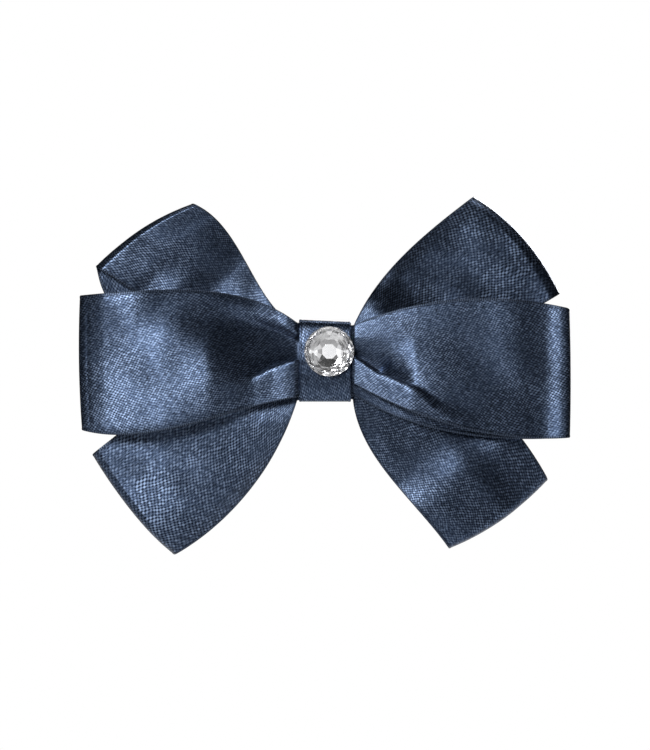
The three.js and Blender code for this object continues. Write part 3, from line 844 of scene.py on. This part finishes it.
def tube_object(name, centre, radius, sides=12):
    """A round tube along a line of points, with closed ends and UVs along and around it."""
    ahead = np.gradient(centre, axis=0)
    ahead /= np.linalg.norm(ahead, axis=1, keepdims=True)
    side = np.cross(ahead, [1.0, 0.0, 0.0])
    side /= np.linalg.norm(side, axis=1, keepdims=True)
    other = np.cross(ahead, side)
    cosine, sine = (f(full_turn(sides))[None, :, None] for f in (np.cos, np.sin))
    ring = cosine * side[:, None] + sine * other[:, None]
    points = (centre[:, None] + radius * ring).reshape(-1, 3)
    reach = np.concatenate([[0], np.cumsum(np.linalg.norm(np.diff(centre, axis=0), axis=1))])
    turn = 2 * math.pi * np.arange(sides + 1) / sides
    uvs = [
        (reach[i + a], turn[k + b])
        for i in range(len(centre) - 1)
        for k in range(sides)
        for a, b in ((0, 0), (0, 1), (1, 1), (1, 0))
    ]
    uvs += [(0, 0)] * (2 * sides)
    faces = ring_faces(len(centre), sides) + end_faces(len(centre), sides)
    return mesh_object(name, points, faces, uvs)


THREAD_TURNS = 4
THREAD_SQUARENESS = 0.35


def make_thread(material):
    """Thread wound in turns side by side round the gathers, under the band."""
    share = np.linspace(0, 1, 60 * THREAD_TURNS)
    angle = 2 * math.pi * THREAD_TURNS * share
    middle = (THREAD_LOW + THREAD_HIGH) / 2
    reach = (THREAD_HIGH - THREAD_LOW) / 2 - THREAD_RADIUS
    x = middle[0] + (share - 0.5) * THREAD_TURNS * 3 * THREAD_RADIUS
    y = middle[1] + reach[1] * squarer(np.sin(angle), THREAD_SQUARENESS)
    z = middle[2] + reach[2] * squarer(np.cos(angle), THREAD_SQUARENESS)
    piece = tube_object("gathering_thread", np.stack([x, y, z], axis=1), THREAD_RADIUS)
    return finish_piece(piece, material, "gather_thread")


FACETS = 8
# Rings of the stone's corners: how many, their radius and their height above the back as shares of
# the stone's, and their turn as a share of a facet. From the table down to the flat back.
STONE_RINGS = (
    (FACETS, 0.31, 1, 0.5),
    (FACETS, 0.64, 0.8, 0),
    (2 * FACETS, 0.84, 0.47, 0.5),
    (2 * FACETS, 1, 0.2, 0),
    (2 * FACETS, 1, 0.1, 0),
    (2 * FACETS, 0.94, 0, 0),
)


def stone_corners():
    """All corners of the stone, in millimetres."""
    radius = (CRYSTAL_HIGH[0] - CRYSTAL_LOW[0]) / 2
    centre = (CRYSTAL_LOW + CRYSTAL_HIGH) / 2
    back, table = CRYSTAL_HIGH[1], CRYSTAL_LOW[1]
    corners = []
    for count, wide, high, turn in STONE_RINGS:
        for k in range(count):
            angle = 2 * math.pi * (k + turn) / count
            x = centre[0] + wide * radius * math.cos(angle)
            z = centre[2] + wide * radius * math.sin(angle)
            corners.append((x, back + (table - back) * high, z))
    return corners


def make_crystal(material):
    """A flat-backed stone: table, a ring of star facets, kites, and small facets to the girdle."""
    mesh = bpy.data.meshes.new("faceted_crystal")
    shape = bmesh.new()
    for corner in stone_corners():
        shape.verts.new(Vector(corner) * MM)
    bmesh.ops.convex_hull(shape, input=shape.verts)
    flat = math.radians(0.5)
    bmesh.ops.dissolve_limit(shape, angle_limit=flat, verts=shape.verts, edges=shape.edges)
    bmesh.ops.bevel(shape, geom=list(shape.edges), offset=0.02 * MM, segments=1, affect="EDGES")
    bmesh.ops.recalc_face_normals(shape, faces=shape.faces)
    shape.to_mesh(mesh)
    shape.free()
    return finish_piece(new_object("faceted_crystal", mesh), material, "crystal")


def turned_object(name, profile, centre, sides=48, wobble=0.0, seed=1):
    """A turned solid from (radius, depth) pairs along Y, its rim made uneven by wobble."""
    angle = full_turn(sides)
    uneven = 1 + wobble * (np.sin(3 * angle + seed) + 0.6 * np.sin(5 * angle + 2 * seed))
    x, z = np.cos(angle) * uneven, np.sin(angle) * uneven
    rings = [np.stack([centre[0] + r * x, y + 0 * x, centre[2] + r * z], axis=1) for r, y in profile]
    faces = ring_faces(len(profile), sides) + end_faces(len(profile), sides)
    return mesh_object(name, np.concatenate(rings), faces)


def make_foil(material):
    """The mirror coat on the stone's flat back, its rim rounded a little."""
    centre = (FOIL_LOW + FOIL_HIGH) / 2
    radius = (FOIL_HIGH[0] - FOIL_LOW[0]) / 2
    front, back = FOIL_LOW[1], FOIL_HIGH[1]
    profile = [
        (radius, back), (radius * 1.03, (front + back) / 2),
        (radius * 1.02, front), (radius * 0.5, front),
    ]
    piece = turned_object("crystal_mirror_back", profile, centre)
    return finish_piece(piece, material, "crystal_foil")


def make_crystal_glue(material):
    """Gem adhesive squeezed out into an uneven rim under the stone."""
    centre = (GLUE_LOW + GLUE_HIGH) / 2
    radius = (GLUE_HIGH[0] - GLUE_LOW[0]) / 2
    front, back = GLUE_LOW[1], GLUE_HIGH[1]
    profile = [
        (radius * 1.02, back), (radius * 1.1, back - 0.03), (radius * 1.1, front + 0.1),
        (radius * 1.04, front + 0.01), (radius * 0.9, front),
    ]
    piece = turned_object("crystal_adhesive", profile, centre, wobble=0.012, seed=4)
    return finish_piece(piece, material, "crystal_glue")


def make_pad(material):
    """The bead of hot-melt glue between the gathers and the plate: lumpy, with rounded lips."""
    centre, reach = (PAD_LOW + PAD_HIGH) / 2, (PAD_HIGH - PAD_LOW) / 2
    rings, sides = 21, 56
    tilt = math.pi * np.arange(1, rings + 1) / (rings + 1)
    tilt, turn = np.meshgrid(tilt, full_turn(sides), indexing="ij")
    x = squarer(np.sin(tilt), 0.45) * squarer(np.cos(turn), 0.6)
    y = squarer(np.cos(tilt), 0.4)
    z = squarer(np.sin(tilt), 0.45) * squarer(np.sin(turn), 0.7)
    lump = 1 + 0.07 * np.sin(3 * turn + 1) + 0.05 * np.sin(7 * turn + 3 * y)
    points = centre + reach * np.stack([x * lump * 1.04, y * 0.98, z * lump], axis=2)
    tip = np.array([0, reach[1] * 0.98, 0])
    points = [*points.reshape(-1, 3), centre + tip, centre - tip]
    faces = [[a, d, c, b] for a, b, c, d in ring_faces(rings, sides)]
    first, last = len(points) - 2, len(points) - 1
    for k, after in zip(range(sides), [*range(1, sides), 0]):
        faces.append([first, k, after])
        faces.append([last, (rings - 1) * sides + after, (rings - 1) * sides + k])
    piece = mesh_object("hot_melt_pad", points, faces)
    return finish_piece(piece, material, "mounting_glue")


def finish_steel():
    """The barrette keeps its CAD shape, with worn edges and a plated finish."""
    plated = steel_material(
        "plated_steel", "X", colour(0.56, 0.56, 0.57), colour(0.68, 0.68, 0.69), rough=0.22
    )
    spring = steel_material(
        "spring_steel", "X", colour(0.60, 0.60, 0.62), colour(0.72, 0.72, 0.73), rough=0.18
    )
    drawn = steel_material(
        "drawn_steel", "Z", colour(0.50, 0.50, 0.51), colour(0.62, 0.62, 0.63), rough=0.26
    )
    looks = (
        (plated, ("barrette_base", "clasp_arm")),
        (drawn, ("hinge_pin", "latch_rivet")),
        (spring, ("tension_bar", "latch_saddle", "latch_prong_upper", "latch_prong_lower")),
    )
    for material, nodes in looks:
        for node in nodes:
            finish_stamping(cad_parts[node], material)


def finish_stamping(piece, material):
    """One steel node's material and softened edges."""
    piece.data.materials.clear()
    piece.data.materials.append(material)
    worn = piece.modifiers.new("worn_edges", "BEVEL")
    worn.width = 0.07 * MM
    worn.segments = 2
    worn.limit_method = "ANGLE"
    worn.angle_limit = math.radians(35)
    worn.harden_normals = True
    piece.data.polygons.foreach_set("use_smooth", [True] * len(piece.data.polygons))


# ---- Studio ----
CAMERA_Z = -2.67
CAMERA_LENS = 120.0
CAMERA_DISTANCE = 477.0  # from the front of the loops
FLOOR_Z = -235.0
FLOOR_RADIUS = 900.0


def aim(thing, place_mm, target_mm):
    """Put a camera or light at a place and point it at a target."""
    place, target = Vector(place_mm) * MM, Vector(target_mm) * MM
    thing.location = place
    thing.rotation_euler = (target - place).to_track_quat("-Z", "Y").to_euler()


def make_camera():
    data = bpy.data.cameras.new("camera")
    data.lens = CAMERA_LENS
    data.sensor_width = 36.0
    data.clip_start, data.clip_end = 0.01, 10.0
    camera = new_object("camera", data)
    aim(camera, (0, BOW_FRONT_Y - CAMERA_DISTANCE, CAMERA_Z), (0, BOW_FRONT_Y, CAMERA_Z))
    bpy.context.scene.camera = camera


def softbox(name, place, size, watts, target=(0, -12, 0)):
    """A soft rectangular light, in millimetres. It points at the bow, unless a target is given."""
    data = bpy.data.lights.new(name, "AREA")
    data.shape = "RECTANGLE"
    data.size, data.size_y = size[0] * MM, size[1] * MM
    data.energy = watts
    light = new_object(name, data)
    aim(light, place, target)
    light.visible_camera = False


# The brightness of what is seen through the crystal, at heights from straight down (0) to straight up
# (1): lit at the horizon and high up, and dark just over the camera.
SKY_STOPS = (
    (0.0, 0.35), (0.43, 0.3), (0.49, 0.95), (0.55, 0.95),
    (0.58, 0.03), (0.75, 0.03), (0.8, 0.35), (0.97, 0.6),
)
BESIDE_LENS = (0.22, 0.4, 0.0, 0.4)  # further than this to each side, it is at least 0.4 bright
PATCH_SCALE = 3.1
PATCH_EDGES = (0.2, 0.46, 0.05, 1.5)  # dark in the middle of a patch, and bright between patches


class WorldGraph:
    """The world's nodes, with short calls to add and join them."""

    def __init__(self, world):
        self.nodes, self.links = world.node_tree.nodes, world.node_tree.links

    def add(self, kind, *values):
        """A new node. Its first inputs take the values: outputs are joined, None is passed over."""
        node = self.nodes.new(kind)
        for value, socket in zip(values, node.inputs):
            if isinstance(value, bpy.types.NodeSocket):
                self.links.new(value, socket)
            elif value is not None:
                socket.default_value = value
        return node


def sky_brightness(graph, direction):
    """Brightness by height, and beside the camera, as one output."""
    split = graph.add("ShaderNodeSeparateXYZ", direction)
    level = graph.add("ShaderNodeMapRange", split.outputs["Z"], -1.0)
    sky = graph.add("ShaderNodeValToRGB", level.outputs[0])
    while len(sky.color_ramp.elements) < len(SKY_STOPS):
        sky.color_ramp.elements.new(0.5)
    for stop, (place_up, light) in zip(sky.color_ramp.elements, SKY_STOPS):
        stop.position = place_up
        stop.color = colour(light, light, light)
    sideways = graph.add("ShaderNodeMath", split.outputs["X"])
    sideways.operation = "ABSOLUTE"
    beside = graph.add("ShaderNodeMapRange", sideways.outputs[0], *BESIDE_LENS)
    lit = graph.add("ShaderNodeMath", sky.outputs[0], beside.outputs[0])
    lit.operation = "MAXIMUM"
    return lit.outputs[0]


def make_world(strength):
    """Even dim light all round. The camera sees plain white behind the bow, and what looks out
    through the crystal sees a bright studio with dark patches, and a dark strip over the camera."""
    world = bpy.data.worlds.new("studio")
    bpy.context.scene.world = world
    world.use_nodes = True
    graph = WorldGraph(world)
    fill = graph.nodes["Background"]
    fill.inputs["Color"].default_value = colour(strength, strength, strength)
    direction = graph.add("ShaderNodeTexCoord").outputs["Generated"]
    cells = graph.add("ShaderNodeTexVoronoi", direction)
    cells.inputs["Scale"].default_value = PATCH_SCALE
    patches = graph.add("ShaderNodeMapRange", cells.outputs["Distance"], *PATCH_EDGES)
    bright = graph.add("ShaderNodeBackground", patches.outputs[0], sky_brightness(graph, direction))
    white = graph.add("ShaderNodeBackground", colour(1.0, 1.0, 1.0))
    rays = graph.add("ShaderNodeLightPath").outputs
    through_glass = rays["Is Transmission Ray"]
    inside = graph.add("ShaderNodeMixShader", through_glass, fill.outputs[0], bright.outputs[0])
    seen = graph.add("ShaderNodeMixShader", rays["Is Camera Ray"], inside.outputs[0], white.outputs[0])
    graph.links.new(seen.outputs[0], graph.nodes["World Output"].inputs["Surface"])


def make_floor():
    sides = 96
    angles = full_turn(sides)
    rim = [(FLOOR_RADIUS * math.cos(a), FLOOR_RADIUS * math.sin(a), FLOOR_Z) for a in angles]
    floor = mesh_object("floor", rim, [list(range(sides))], smooth=False)
    floor.data.materials.append(floor_material())


make_camera()
make_world(0.0015)
softbox("key_light", place=(-215, -760, 230), size=(190, 190), watts=3.7)
softbox("top_light", place=(0, 160, 650), size=(400, 400), watts=1.2)
softbox("back_light", place=(260, 700, 260), size=(300, 300), watts=3.0)
above, below = (0, 0, FLOOR_Z + 150), (0, 0, FLOOR_Z)
softbox("floor_wash", place=above, size=(1400, 1400), watts=1.0, target=below)
make_floor()

front = make_ribbon("front_ribbon", satin("front_satin", RIBBON_WIDTH / 2, cell=0.18, gap_shade=0.7))
rising_satin = satin("rising_satin", RIBBON_WIDTH / 2, cell=0.24, gap_shade=0.85)
rising = make_ribbon("rear_ribbon_rising", rising_satin)
falling_satin = satin("falling_satin", RIBBON_WIDTH / 2, cell=0.2, gap_shade=0.75)
falling = make_ribbon("rear_ribbon_falling", falling_satin)
band_satin = satin("band_satin", BAND_WIDTH / 2, cell=0.18, gap_shade=0.7, edge_width=0.4, edge_share=0.2)
band = make_band(band_satin)
make_thread(thread_material())
make_crystal(glass_material())
make_foil(foil_material())
gem_tints = colour(0.75, 0.75, 0.72), colour(0.85, 0.84, 0.80)
make_crystal_glue(glue_material("gem_adhesive", *gem_tints, see_through=0.6))
melt_tints = colour(0.66, 0.62, 0.50), colour(0.80, 0.77, 0.66)
make_pad(glue_material("hot_melt_glue", *melt_tints, see_through=0.1))
finish_steel()

bpy.context.scene.view_settings.view_transform = "Standard"
